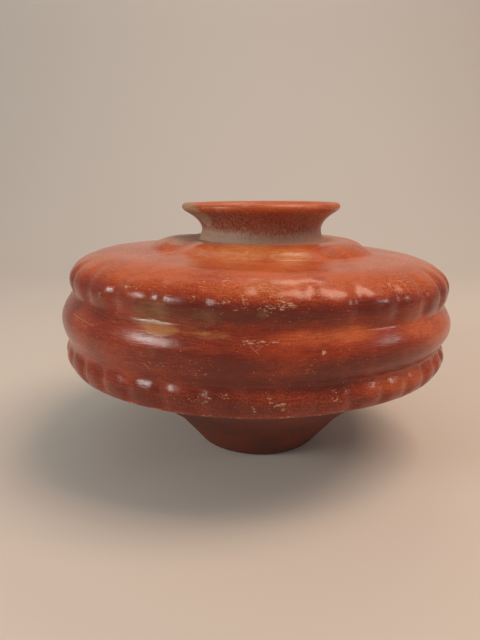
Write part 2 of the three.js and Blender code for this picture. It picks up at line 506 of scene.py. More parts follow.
class Graph:
    """A node tree with short calls for the nodes that the finishes and the geometry tree use."""

    def __init__(self, tree: bpy.types.NodeTree) -> None:
        """Takes a node tree to add to."""
        self.tree = tree

    def add(self, kind: str, inputs: dict | None = None, **settings: object) -> bpy.types.Node:
        """Adds a node, sets its properties and its inputs.

        Args:
            kind: Its type.
            inputs: Values or sockets for its inputs, by name or number.
            settings: Its properties.

        Returns:
            The node.
        """
        made = self.tree.nodes.new(kind)
        for name, value in settings.items():
            setattr(made, name, value)
        for name, value in (inputs or {}).items():
            if isinstance(value, Socket):
                self.tree.links.new(value, made.inputs[name])
            else:
                made.inputs[name].default_value = value
        return made

    def math(self, operation: str, *values: object, clamp: bool = False) -> Socket:
        """A Math node's result."""
        kind = "ShaderNodeMath"
        return self.add(kind, dict(enumerate(values)), operation=operation, use_clamp=clamp).outputs[0]

    def total(self, *values: object) -> Socket:
        """The sum of two or more values.

        Args:
            values: Values or sockets.

        Returns:
            Their sum.
        """
        made = values[0]
        for value in values[1:]:
            made = self.math("ADD", made, value)
        return made

    def most(self, *values: object) -> Socket:
        """The greatest of two or more values.

        Args:
            values: Values or sockets.

        Returns:
            The greatest.
        """
        made = values[0]
        for value in values[1:]:
            made = self.math("MAXIMUM", made, value)
        return made

    def times(self, value: object, factor: object) -> Socket:
        """A value times a factor."""
        return self.math("MULTIPLY", value, factor)

    def swing(self, value: Socket, reach: object) -> Socket:
        """A pattern between 0 and 1 made to swing by half the reach on both sides of 0."""
        return self.times(self.math("SUBTRACT", value, 0.5), reach)

    def vector(self, operation: str, *values: object) -> bpy.types.Node:
        """A Vector Math node."""
        return self.add("ShaderNodeVectorMath", dict(enumerate(values)), operation=operation)

    def scaled(self, vector: Socket, factors: tuple[float, float, float]) -> Socket:
        """A vector with each part multiplied by its own factor."""
        return self.vector("MULTIPLY", vector, factors).outputs[0]

    def stretched(self, vector: Socket, factor: object) -> Socket:
        """A vector times one number."""
        inputs = {0: vector, "Scale": factor}
        return self.add("ShaderNodeVectorMath", inputs, operation="SCALE").outputs[0]

    def noise(self, vector: object, scale: float, detail: float = 2.0, rough: float = 0.5) -> Socket:
        """A noise pattern between about 0 and 1."""
        inputs = {"Vector": vector, "Scale": scale, "Detail": detail, "Roughness": rough}
        return self.add("ShaderNodeTexNoise", inputs).outputs[0]

    def laid(self, along: Socket, grain: Grain) -> Socket:
        """A noise pattern that lies along the wall."""
        around, up, detail, rough = grain
        return self.noise(self.scaled(along, (around, around, up)), 1.0, detail, rough)

    def rise(self, value: object, low: float, high: float) -> Socket:
        """A smooth rise from 0 at low to 1 at high."""
        inputs = {0: value, 1: low, 2: high, 3: 0.0, 4: 1.0}
        return self.add("ShaderNodeMapRange", inputs, interpolation_type="SMOOTHSTEP").outputs[0]

    def span(self, value: object, low: float, high: float) -> Socket:
        """A value between 0 and 1 spread from low to high."""
        return self.add("ShaderNodeMapRange", {0: value, 1: 0.0, 2: 1.0, 3: low, 4: high}).outputs[0]

    def blend(self, share: object, under: object, over: object) -> Socket:
        """Two colours blended by a share.

        Args:
            share: How much of the upper colour shows.
            under: The colour below.
            over: The colour laid over it.

        Returns:
            The colour.
        """
        made = self.add("ShaderNodeMix", data_type="RGBA")
        for index, value in ((0, share), (6, under), (7, over)):
            if isinstance(value, Socket):
                self.tree.links.new(value, made.inputs[index])
            elif isinstance(value, tuple):
                made.inputs[index].default_value = (*value, 1.0)
            else:
                made.inputs[index].default_value = value
        return made.outputs[2]

    def attribute(self, name: str, output: int = 2) -> Socket:
        """A stored attribute: its number, or with output 1 its vector."""
        return self.add("ShaderNodeAttribute", attribute_name=name).outputs[output]

    def named(self, name: str, kind: str) -> Socket:
        """A stored attribute of the geometry in a geometry tree."""
        return self.add("GeometryNodeInputNamedAttribute", {"Name": name}, data_type=kind).outputs[0]


@dataclass(frozen=True)
class Scratch:
    """A thin scratch between two places of the wall, each a direction from the front and a height."""

    start: Point
    end: Point
    width: float = 0.35

    @staticmethod
    def spot(place: Point) -> tuple[float, float, float]:
        """A place on the unrolled wall, in metres."""
        return (math.radians(place[0]) * Jar.unroll_radius * MM, place[1] * MM, 0.0)

    def cover(self, g: Graph, unrolled: Socket) -> Socket:
        """How much of each place the scratch takes.

        Args:
            g: The graph to add to.
            unrolled: The place on the unrolled wall.

        Returns:
            The cover.
        """
        start, end = Vector(self.spot(self.start)), Vector(self.spot(self.end))
        run = end - start
        offset = g.vector("SUBTRACT", unrolled, tuple(start)).outputs[0]
        share = g.vector("DOT_PRODUCT", offset, tuple(run / run.length_squared)).outputs["Value"]
        share = g.math("ADD", share, 0.0, clamp=True)
        whole = g.add("ShaderNodeCombineXYZ", dict(enumerate(run))).outputs[0]
        nearest = g.stretched(whole, share)
        away = g.vector("DISTANCE", offset, nearest).outputs["Value"]
        return g.math("SUBTRACT", 1.0, g.rise(away, self.width * MM / 3, self.width * MM))


@dataclass(frozen=True)
class WallPlace:
    """What the slip reads of each place on the wall: where it lies, and what it carries.

    place is the place itself, along the direction round the jar and the way along the wall, fray the
    pattern that frays the edges of patches, and masks what the stored attributes say.
    """

    place: Socket
    along: Socket
    fray: Socket
    masks: dict[Mask, Socket]


@dataclass(frozen=True)
class SlipFinish:
    """Burnished red slip over orange clay, clouded by the fire, dusty at the neck and worn in specks.

    A Noise is a pattern's scale, detail and roughness. A Grain is a pattern that lies along the wall: its
    scale round the jar and along the wall, its detail and its roughness. A Point whose name ends in rise
    says where a cover starts and where it is full.
    """

    name: str = "burnished_red_slip"
    deep: Colour = (0.148, 0.020, 0.010)
    red: Colour = (0.335, 0.044, 0.013)
    bright: Colour = (0.560, 0.133, 0.040)
    ochre: Colour = (0.550, 0.240, 0.082)
    smoke: Colour = (0.250, 0.130, 0.052)
    clay: Colour = (0.640, 0.370, 0.210)
    crust: Colour = (0.600, 0.420, 0.250)
    bare_clay: Colour = (0.440, 0.320, 0.190)
    bare_stain: Colour = (0.300, 0.175, 0.095)
    dust: Colour = (0.470, 0.320, 0.235)
    foot: Colour = (0.185, 0.036, 0.017)
    foot_stain: Colour = (0.115, 0.038, 0.022)
    inner: Colour = (0.300, 0.085, 0.040)

    mottle: Noise = (34.0, 4.0, 0.6)
    fray: Noise = (90.0, 5.0, 0.7)
    clusters: Noise = (110.0, 3.0, 0.6)
    pits: Noise = (760.0, 1.0, 0.5)
    foot_mottle: Noise = (55.0, 5.0, 0.65)
    bare_mottle: Noise = (380.0, 4.0, 0.7)
    grit: Noise = (900.0, 2.0, 0.6)
    strokes: Grain = (20.0, 1300.0, 3.0, 0.6)
    broad: Grain = (3.4, 48.0, 2.0, 0.5)
    speckle: Grain = (150.0, 1100.0, 2.0, 0.6)
    streaks: Grain = (14.0, 420.0, 4.0, 0.7)
    dashes: Grain = (46.0, 1050.0, 3.0, 0.7)
    flecks: Grain = (110.0, 1000.0, 3.0, 0.7)
    powder: Grain = (120.0, 1700.0, 3.0, 0.7)
    thin_dust: Grain = (36.0, 330.0, 4.0, 0.7)

    base_tone: float = 0.135
    broad_share: float = 0.28
    mottle_share: float = 0.42
    stroke_swing: float = 0.46
    speckle_swing: Point = (0.36, 1.40)
    # The lift gives the slip's own orange and painted light; the drop gives painted shade.
    warm_and_light_lift: float = 0.25
    painted_shade_drop: float = 0.19
    red_rise: Point = (0.28, 0.60)
    bright_rise: Point = (0.52, 0.90)

    fray_swing: float = 0.9
    patch_rise: Point = (0.0, 0.3)
    streak_swing: float = 1.9
    cloud_fray: float = 0.6
    cloud_rise: Point = (0.1, 1.15)
    ochre_cover: float = 0.7
    smoke_cover: float = 0.66

    cluster_rise: Point = (0.44, 0.62)
    worn_push: float = 0.145
    worn_rise: Point = (0.68, 0.75)
    worn_cover: float = 0.72
    pit_rise: Point = (0.75, 0.785)
    pit_cover: float = 0.6
    scratch_cover: float = 0.34
    crust_cluster: Point = (0.3, 1.0)
    crust_push: float = 0.22
    crust_rise: Point = (0.73, 0.80)
    crust_cover: float = 0.75

    foot_rise: Point = (0.38, 0.64)
    foot_cover: float = 0.9
    bare_fray: float = 1.5
    bare_rise: Point = (0.36, 0.60)
    bare_mottle_rise: Point = (0.42, 0.62)
    bare_cover: float = 0.92
    powder_rise: Point = (0.34, 0.66)
    powder_share: float = 0.62
    thin_rise: Point = (0.36, 0.64)
    thin_share: float = 0.48
    dust_push: float = 1.7
    dust_rise: Point = (-0.40, 1.00)
    dust_cover: float = 0.9

    roughness: float = 0.21
    stroke_rough: float = 0.17
    fray_rough: float = 0.08
    lip_rise: Point = (1.0, 1.02)
    lip_rough: float = 0.12
    dull_rough: float = 0.5
    sheen: float = 0.40
    stroke_relief: Point = (0.8, 0.4)
    grit_relief: float = 0.05
    crust_relief: float = 0.5
    pale_relief: float = 0.5
    bump_strength: float = 0.45
    bump_distance: float = 0.0003
    scratches: tuple[Scratch, ...] = (
        Scratch((-56, 122.2), (-43, 120.3), 0.28),
        Scratch((-1.7, 119.9), (0.2, 115.5), 0.26),
        Scratch((-0.7, 116.5), (1.2, 119.8), 0.2),
        Scratch((-26, 104.0), (-24.8, 101.5)),
    )

    def read(self, g: Graph) -> WallPlace:
        """Reads what the wall's mesh says of each place.

        Args:
            g: The graph to add to.

        Returns:
            What it says.
        """
        place = g.add("ShaderNodeTexCoord").outputs["Object"]
        along = g.attribute("along", 1)
        fray = g.swing(g.noise(place, *self.fray), self.fray_swing)
        return WallPlace(place, along, fray, {mask: g.attribute(mask.value) for mask in Mask})

    def ground(self, g: Graph, wall: WallPlace, strokes: Socket) -> Socket:
        """The slip's colour: streaks of burnishing, clouds and fine speckle, lifted by painted light and
        darkened by painted shade.

        Args:
            g: The graph to add to.
            wall: What the slip reads of each place.
            strokes: The pattern of the burnishing.

        Returns:
            The colour.
        """
        broad = g.times(g.laid(wall.along, self.broad), self.broad_share)
        mottle = g.times(g.noise(wall.place, *self.mottle), self.mottle_share)
        # The lifted tone is partly painted light.
        warm_and_painted_light = g.times(wall.masks[Mask.WARM_AND_PAINTED_LIGHT], self.warm_and_light_lift)
        speckled = g.span(wall.masks[Mask.SPECKLED], *self.speckle_swing)
        tone = g.total(broad, mottle, self.base_tone)
        tone = g.total(tone, g.swing(strokes, self.stroke_swing), warm_and_painted_light)
        tone = g.total(tone, g.swing(g.laid(wall.along, self.speckle), speckled))
        # Painted shade darkens the tone here.
        tone = g.math("SUBTRACT", tone, g.times(wall.masks[Mask.DARK], self.painted_shade_drop))
        colour = g.blend(g.rise(tone, *self.red_rise), self.deep, self.red)
        return g.blend(g.rise(tone, *self.bright_rise), colour, self.bright)

    def clouds(self, g: Graph, wall: WallPlace, colour: Socket) -> Socket:
        """Lays the fire's thin, streaky clouds of ochre and smoke over the slip.

        Args:
            g: The graph to add to.
            wall: What the slip reads of each place.
            colour: The slip's colour.

        Returns:
            The colour.
        """
        streaks = g.swing(g.laid(wall.along, self.streaks), self.streak_swing)
        ragged = g.times(wall.fray, self.cloud_fray)
        clouds = ((Mask.OCHRE, self.ochre, self.ochre_cover), (Mask.SMOKE, self.smoke, self.smoke_cover))
        for mask, laid, thickness in clouds:
            cover = g.rise(g.total(wall.masks[mask], ragged, streaks), *self.cloud_rise)
            cover = g.times(g.times(cover, thickness), g.rise(wall.masks[mask], *self.patch_rise))
            colour = g.blend(cover, colour, laid)
        return colour

    def wear(self, g: Graph, wall: WallPlace, colour: Socket) -> tuple[Socket, Socket, Socket]:
        """Wears the slip through to the clay in dashes, pits and scratches, and leaves flecks of crust.

        Args:
            g: The graph to add to.
            wall: What the slip reads of each place.
            colour: The slip's colour.

        Returns:
            The colour, and how much of each place is worn and how much is crust.
        """
        clusters = g.rise(g.noise(wall.place, *self.clusters), *self.cluster_rise)
        push = g.times(g.times(wall.masks[Mask.WORN], clusters), self.worn_push)
        worn = g.rise(g.total(g.laid(wall.along, self.dashes), push), *self.worn_rise)
        pits = g.rise(g.noise(wall.place, *self.pits), *self.pit_rise)
        unrolled = g.attribute("unrolled", 1)
        scratches = g.most(*(scratch.cover(g, unrolled) for scratch in self.scratches))
        worn, pits = g.times(worn, self.worn_cover), g.times(pits, self.pit_cover)
        pale = g.most(worn, pits, g.times(scratches, self.scratch_cover))
        colour = g.blend(pale, colour, self.clay)
        clustered = g.times(wall.masks[Mask.CRUST], g.span(clusters, *self.crust_cluster))
        flecks = g.total(g.laid(wall.along, self.flecks), g.times(clustered, self.crust_push))
        crust = g.rise(flecks, *self.crust_rise)
        return g.blend(g.times(crust, self.crust_cover), colour, self.crust), pale, crust

    def bared(self, g: Graph, wall: WallPlace, colour: Socket) -> tuple[Socket, Socket]:
        """Gives the foot its matt, mottled brown and bares the stained clay.

        Args:
            g: The graph to add to.
            wall: What the slip reads of each place.
            colour: The slip's colour.

        Returns:
            The colour, and how much of each place is bare.
        """
        foot = g.rise(g.noise(wall.place, *self.foot_mottle), *self.foot_rise)
        foot = g.blend(foot, self.foot, self.foot_stain)
        colour = g.blend(g.times(wall.masks[Mask.MATT], self.foot_cover), colour, foot)
        ragged = g.total(wall.masks[Mask.BARE], g.times(wall.fray, self.bare_fray))
        bare = g.rise(ragged, *self.bare_rise)
        mottle = g.rise(g.noise(wall.place, *self.bare_mottle), *self.bare_mottle_rise)
        clay = g.blend(mottle, self.bare_stain, self.bare_clay)
        return g.blend(g.times(bare, self.bare_cover), colour, clay), bare

    def dusted(self, g: Graph, wall: WallPlace, colour: Socket) -> tuple[Socket, Socket]:
        """Lays the dust, thick round the foot of the neck and thin above it.

        Args:
            g: The graph to add to.
            wall: What the slip reads of each place.
            colour: The slip's colour.

        Returns:
            The colour, and how much of each place is dusty.
        """
        powder = g.times(g.rise(g.laid(wall.along, self.powder), *self.powder_rise), self.powder_share)
        thin = g.times(g.rise(g.laid(wall.along, self.thin_dust), *self.thin_rise), self.thin_share)
        # The dust mask also carries painted shade at the collar's far left.
        depth = g.times(wall.masks[Mask.DUST_AND_SHADE], self.dust_push)
        dust = g.rise(g.math("SUBTRACT", depth, g.total(powder, thin)), *self.dust_rise)
        dust = g.times(dust, g.rise(wall.masks[Mask.DUST_AND_SHADE], *self.patch_rise))
        return g.blend(g.times(dust, self.dust_cover), colour, self.dust), dust

    def material(self) -> bpy.types.Material:
        """Builds the material.

        Returns:
            The material.
        """
        made = bpy.data.materials.new(self.name)
        made.use_nodes = True
        made.node_tree.nodes.clear()
        g = Graph(made.node_tree)
        wall = self.read(g)
        warm_and_painted_light, matt, inside = (wall.masks[mask] for mask in (Mask.WARM_AND_PAINTED_LIGHT, Mask.MATT, Mask.INSIDE))
        strokes = g.laid(wall.along, self.strokes)
        colour = self.clouds(g, wall, self.ground(g, wall, strokes))
        colour, pale, crust = self.wear(g, wall, colour)
        colour, bare = self.bared(g, wall, colour)
        colour, dust = self.dusted(g, wall, colour)
        colour = g.blend(inside, colour, self.inner)

        rough = g.span(strokes, self.roughness - self.stroke_rough, self.roughness + self.stroke_rough)
        lip = g.times(g.rise(warm_and_painted_light, *self.lip_rise), self.lip_rough)
        rough = g.total(rough, g.times(wall.fray, self.fray_rough), lip)
        dull = g.times(g.most(pale, crust, dust, bare, inside, matt), self.dull_rough)
        rough = g.math("ADD", rough, dull, clamp=True)

        grit = g.times(g.noise(wall.place, *self.grit), self.grit_relief)
        relief = g.times(strokes, g.span(warm_and_painted_light, *self.stroke_relief))
        relief = g.total(relief, grit, g.times(crust, self.crust_relief))
        relief = g.math("SUBTRACT", relief, g.times(pale, self.pale_relief))
        inputs = {"Strength": self.bump_strength, "Distance": self.bump_distance, "Height": relief}
        bump = g.add("ShaderNodeBump", inputs)
        inputs = {"Base Color": colour, "Roughness": rough, "Specular IOR Level": self.sheen}
        shader = g.add("ShaderNodeBsdfPrincipled", inputs | {"Normal": bump.outputs[0]})
        g.add("ShaderNodeOutputMaterial", {"Surface": shader.outputs[0]})
        return made


@dataclass(frozen=True)
class PlainFinish:
    """A plain matt paper for the floor and backdrop."""

    name: str
    colour: Colour
    roughness: float = 0.85

    def material(self) -> bpy.types.Material:
        """Builds the material.

        Returns:
            The material.
        """
        made = bpy.data.materials.new(self.name)
        made.use_nodes = True
        shader = made.node_tree.nodes["Principled BSDF"]
        shader.inputs["Base Color"].default_value = (*self.colour, 1.0)
        shader.inputs["Roughness"].default_value = self.roughness
        return made


@dataclass
class CreaseTree:
    """The geometry tree that presses the creases into the wall and leaves the marks of the hand on it.

    unevenness says how much the creases vary in depth about their mean, a share of their full depth.
    hand_swing and stroke_depth say, in millimetres, how far the wall swings in broad dents and in the
    shallow strokes of the burnishing.
    """

    shape: JarShape
    mean_depth: float = 0.85
    unevenness: float = 0.9
    drift_scale: float = 28.0
    hand_swing: float = 0.9
    dents: Noise = (24.0, 2.0, 0.4)
    stroke_depth: float = 0.16
    strokes: Grain = (3.5, 130.0, 1.0, 0.5)
    seed: int = 7
    name: str = "press_creases"

    def values(self) -> dict[str, float | int]:
        """The tree's named inputs.

        Returns:
            Each input's value, by its name.
        """
        s = self.shape
        return {
            "Upper Lobes": s.upper_lobes,
            "Upper Depth": s.upper_lobe_depth * MM,
            "Lower Lobes": s.lower_lobes,
            "Lower Depth": s.lower_lobe_depth * MM,
            "Crease Sharpness": s.crease_sharpness,
            "Collar Depth": s.collar_crease_depth * MM,
            "Collar Sink": s.collar_crease_sink * MM,
            "Mean Depth": self.mean_depth,
            "Unevenness": self.unevenness,
            "Drift Scale": self.drift_scale,
            "Hand Swing": self.hand_swing * MM,
            "Stroke Depth": self.stroke_depth * MM,
            "Seed": self.seed,
        }

    def build(self, finish: bpy.types.Material) -> bpy.types.GeometryNodeTree:
        """Builds the tree.

        Args:
            finish: The material that the tree sets.

        Returns:
            The tree.
        """
        tree = bpy.data.node_groups.new(self.name, "GeometryNodeTree")
        tree.interface.new_socket("Geometry", in_out="INPUT", socket_type="NodeSocketGeometry")
        tree.interface.new_socket("Geometry", in_out="OUTPUT", socket_type="NodeSocketGeometry")
        for name, value in self.values().items():
            kind = "NodeSocketInt" if isinstance(value, int) else "NodeSocketFloat"
            tree.interface.new_socket(name, in_out="INPUT", socket_type=kind)
        g = Graph(tree)
        given = g.add("NodeGroupInput").outputs
        inward = g.times(self.creases(g, given), -1.0)
        outward = g.stretched(g.named("outward", "FLOAT_VECTOR"), inward)
        sunk = g.times(g.named(Band.COLLAR_DOWN.value, "FLOAT"), g.named("collar_cut", "FLOAT"))
        sunk = g.times(g.times(sunk, given["Collar Sink"]), -1.0)
        down = g.add("ShaderNodeCombineXYZ", {2: sunk}).outputs[0]
        pressed = g.vector("ADD", outward, down).outputs[0]
        offset = g.vector("ADD", pressed, self.hand(g, given)).outputs[0]
        moved = g.add("GeometryNodeSetPosition", {"Geometry": given["Geometry"], "Offset": offset})
        real = g.add("GeometryNodeRealizeInstances", {"Geometry": moved.outputs[0]})
        dressed = g.add("GeometryNodeSetMaterial", {"Geometry": real.outputs[0], "Material": finish})
        g.add("NodeGroupOutput", {"Geometry": dressed.outputs[0]})
        return tree

    @staticmethod
    def creases(g: Graph, given: bpy.types.NodeOutputs) -> Socket:
        """How far the creases draw the wall in.

        Args:
            g: The graph to add to.
            given: The tree's inputs.

        Returns:
            The distance.
        """
        turn = g.named("turn", "FLOAT")
        place = g.add("GeometryNodeInputPosition").outputs[0]
        inputs = {"Vector": place, "W": given["Seed"], "Scale": given["Drift Scale"]}
        drift = g.add("ShaderNodeTexNoise", inputs, noise_dimensions="4D").outputs[0]
        varied = g.math("ADD", g.swing(drift, given["Unevenness"]), given["Mean Depth"])
        depth = []
        for band, name in ((Band.LOWER, "Lower"), (Band.UPPER, "Upper")):
            wave = g.math("COSINE", g.times(turn, given[f"{name} Lobes"]))
            cut = g.math("POWER", g.times(g.math("ADD", wave, 1.0), 0.5), given["Crease Sharpness"])
            cut = g.times(cut, g.named(band.value, "FLOAT"))
            depth.append(g.times(g.times(cut, varied), given[f"{name} Depth"]))
        collar = g.times(g.named(Band.COLLAR_IN.value, "FLOAT"), g.named("collar_cut", "FLOAT"))
        depth.append(g.times(collar, given["Collar Depth"]))
        return g.total(*depth)

    def hand(self, g: Graph, given: bpy.types.NodeOutputs) -> Socket:
        """The marks of the hand: broad dents, and shallow strokes that run round the wall.

        Args:
            g: The graph to add to.
            given: The tree's inputs.

        Returns:
            How far each place moves, as a vector.
        """
        place = g.add("GeometryNodeInputPosition").outputs[0]
        dents = g.swing(g.noise(place, *self.dents), given["Hand Swing"])
        strokes = g.laid(g.named("along", "FLOAT_VECTOR"), self.strokes)
        strokes = g.swing(strokes, given["Stroke Depth"])
        moved = g.times(g.total(dents, strokes), g.named("worked", "FLOAT"))
        return g.stretched(g.named("facing", "FLOAT_VECTOR"), moved)

    def run(self, piece: bpy.types.Object, finish: bpy.types.Material) -> None:
        """Runs the tree on a piece and keeps the result as its plain mesh.

        Args:
            piece: The piece, at the origin.
            finish: The material that the tree sets.
        """
        tree = self.build(finish)
        modifier = piece.modifiers.new(tree.name, "NODES")
        modifier.node_group = tree
        values = self.values()
        for item in tree.interface.items_tree:
            if item.item_type == "SOCKET" and item.in_out == "INPUT" and item.name in values:
                modifier[item.identifier] = values[item.name]
        seen = piece.evaluated_get(bpy.context.evaluated_depsgraph_get())
        made = bpy.data.meshes.new_from_object(seen)
        piece.modifiers.remove(modifier)
        old = piece.data
        piece.data = made
        bpy.data.meshes.remove(old)


@dataclass(frozen=True)
class Mark:
    """A soft-edged patch on the wall: its place and half sizes.

    side is the direction from the front, in degrees, to the right if positive; height, wide and tall are
    in millimetres. Out to core, a share of its half sizes, a mark is as strong as in its middle.
    """

    core: ClassVar[float] = 0.35

    side: float
    height: float
    wide: float
    tall: float
    strength: float = 1.0

    def weight(self, side: np.ndarray, height: np.ndarray, radius: np.ndarray) -> np.ndarray:
        """How strongly the mark covers some places of the wall.

        Args:
            side: Directions of the places from the front, in degrees.
            height: Their heights.
            radius: Their radii.

        Returns:
            The cover, 0 outside the mark.
        """
        away = (side - self.side + 180) % 360 - 180
        across = np.radians(away) * radius / self.wide
        up = (height - self.height) / self.tall
        return self.strength * (1 - smoothstep(self.core, 1.0, np.hypot(across, up)))


def seen_marks() -> dict[Mask, list[Mark]]:
    """The clouds, spots and worn places of the jar's front, with painted reflections and painted shade
    among them, and plainer ones in keeping on its back.

    Returns:
        The marks of each mask.
    """
    return {
        Mask.SMOKE: [
            Mark(-25, 135, 20, 11, 0.8), Mark(-14, 133, 22, 8, 0.5), Mark(-28, 129.5, 14, 5, 0.7),
            Mark(-23.9, 112.5, 6, 4, 0.6), Mark(1.2, 136.5, 5, 3, 0.7),
            Mark(-42.4, 139.8, 3, 4, 0.9), Mark(128, 128, 34, 16), Mark(-150, 100, 26, 10, 0.8),
        ],
        Mask.OCHRE: [
            Mark(-23, 125.4, 20, 5), Mark(-12, 124.6, 24, 4, 0.5), Mark(-8, 163, 34, 7, 0.8),
            Mark(14, 161.5, 26, 6, 0.8), Mark(-24, 162.6, 18, 6, 0.6), Mark(1, 150, 30, 6, 0.35),
            Mark(150, 120, 24, 6, 0.8), Mark(-165, 160, 30, 8, 0.7),
        ],
        # Painted light: brighter, orange patches where the lamps' reflections fall on the middle and lower
        # rounds.
        Mask.WARM_AND_PAINTED_LIGHT: [
            Mark(17, 123, 52, 7, 0.9), Mark(48, 120, 44, 10), Mark(-50, 121, 30, 8, 0.5),
            Mark(38, 88, 46, 9, 0.9), Mark(60, 92, 50, 9, 0.6), Mark(58, 113, 44, 16),
        ],
        # Painted shade: darker bands across the front of the rounds.
        Mask.DARK: [
            Mark(-4, 137, 90, 8), Mark(8, 97, 110, 9, 0.9), Mark(-12, 108, 70, 10, 0.8),
            Mark(30, 138, 50, 7, 0.8), Mark(20, 106, 50, 9, 0.7), Mark(-14, 82, 90, 9),
        ],
        Mask.WORN: [
            Mark(-6, 149, 44, 8), Mark(3, 143, 50, 9, 1.1), Mark(10, 145, 14, 3, 1.5),
            Mark(-13, 144.5, 14, 4, 1.3), Mark(-32, 147.3, 24, 2, 1.6), Mark(-1, 121.6, 30, 2, 1.4),
            Mark(-14, 94.7, 20, 3), Mark(-3, 84, 60, 8, 1.2), Mark(20, 88, 50, 8),
            Mark(-18, 104, 40, 8, 0.9), Mark(14, 108, 50, 10, 0.7), Mark(40, 148, 34, 8, 0.9),
            Mark(170, 140, 60, 10), Mark(-110, 90, 50, 8), Mark(75, 146, 40, 8),
        ],
        Mask.CRUST: [
            Mark(-5.3, 142, 15, 5, 0.8), Mark(1, 138.7, 10, 5, 0.7), Mark(5.5, 142.2, 12, 5, 0.8),
            Mark(-7, 87.8, 8, 5), Mark(14.3, 115, 2.6, 2.4, 2.4), Mark(-5.8, 163.2, 3.4, 1.5, 2.4),
            Mark(-39.7, 117, 1.6, 2.4, 2.4), Mark(-37.9, 115.4, 1.6, 2, 2.4),
            Mark(-38.2, 107, 1.6, 2.4, 2.4), Mark(-42.4, 139.8, 1.8, 2.2, 2.4),
            Mark(-32, 147.3, 20, 1.6, 1.5), Mark(10.3, 145, 8, 1.3, 1.4), Mark(-160, 130, 12, 5),
            Mark(110, 86, 10, 4),
        ],
        Mask.SPECKLED: [
            Mark(42, 146, 40, 12), Mark(5, 147, 70, 9, 0.6), Mark(46, 120, 30, 10, 0.5),
            Mark(0, 84, 110, 10, 0.6), Mark(-160, 146, 80, 12, 0.8), Mark(100, 110, 60, 14, 0.6),
        ],
        Mask.BARE: [
            Mark(-62, 190, 19, 9), Mark(-52, 186, 13, 8), Mark(-54, 181, 10, 6),
        ],
        # Dust, and painted shade: these greyer marks on the collar's far left stand where its shadow falls.
        Mask.DUST_AND_SHADE: [
            Mark(-78, 166.5, 26, 5, 0.8), Mark(-58, 166.5, 14, 2.4, 0.6),
            Mark(-49, 160.6, 5, 2, 0.4),
        ],
    }


@dataclass(frozen=True)
class Wear:
    """What whole bands of the wall carry, besides the single marks. Lengths are in millimetres.

    A Point gives two ends: heights over or under the ring that the name calls, between which a band
    fades, or sides in degrees between which it thickens. Each dust wave is how high it stands, how
    often it goes round the jar and how far it is turned, in degrees.
    """

    neck_reach: float = 14.0
    dust_edge: Point = (-4.0, 8.0)
    dust_waves: tuple[tuple[float, float, float], ...] = ((1.2, 3.0, 40.0), (0.7, 8.0, 0.0))
    dust: float = 0.68
    dust_on_left: float = 0.10
    left_side: Point = (-5.0, -40.0)
    film: float = 0.36
    matt_below_edge: Point = (-6.0, -1.0)
    # The shoulder's brighter band, partly painted light on its top, fades in between these heights over the
    # upper groove.
    warm_and_lit_over_groove: Point = (12.0, 26.0)
    collar_reach: float = 4.0
    lip_edge: Point = (-1.0, 1.0)
    warm_lip: float = 1.02
    worn_reach: float = 1.1
    worn_edge: float = 1.9
    worn_lip: float = 0.9
    bare_inside: Point = (-2.0, -4.0)


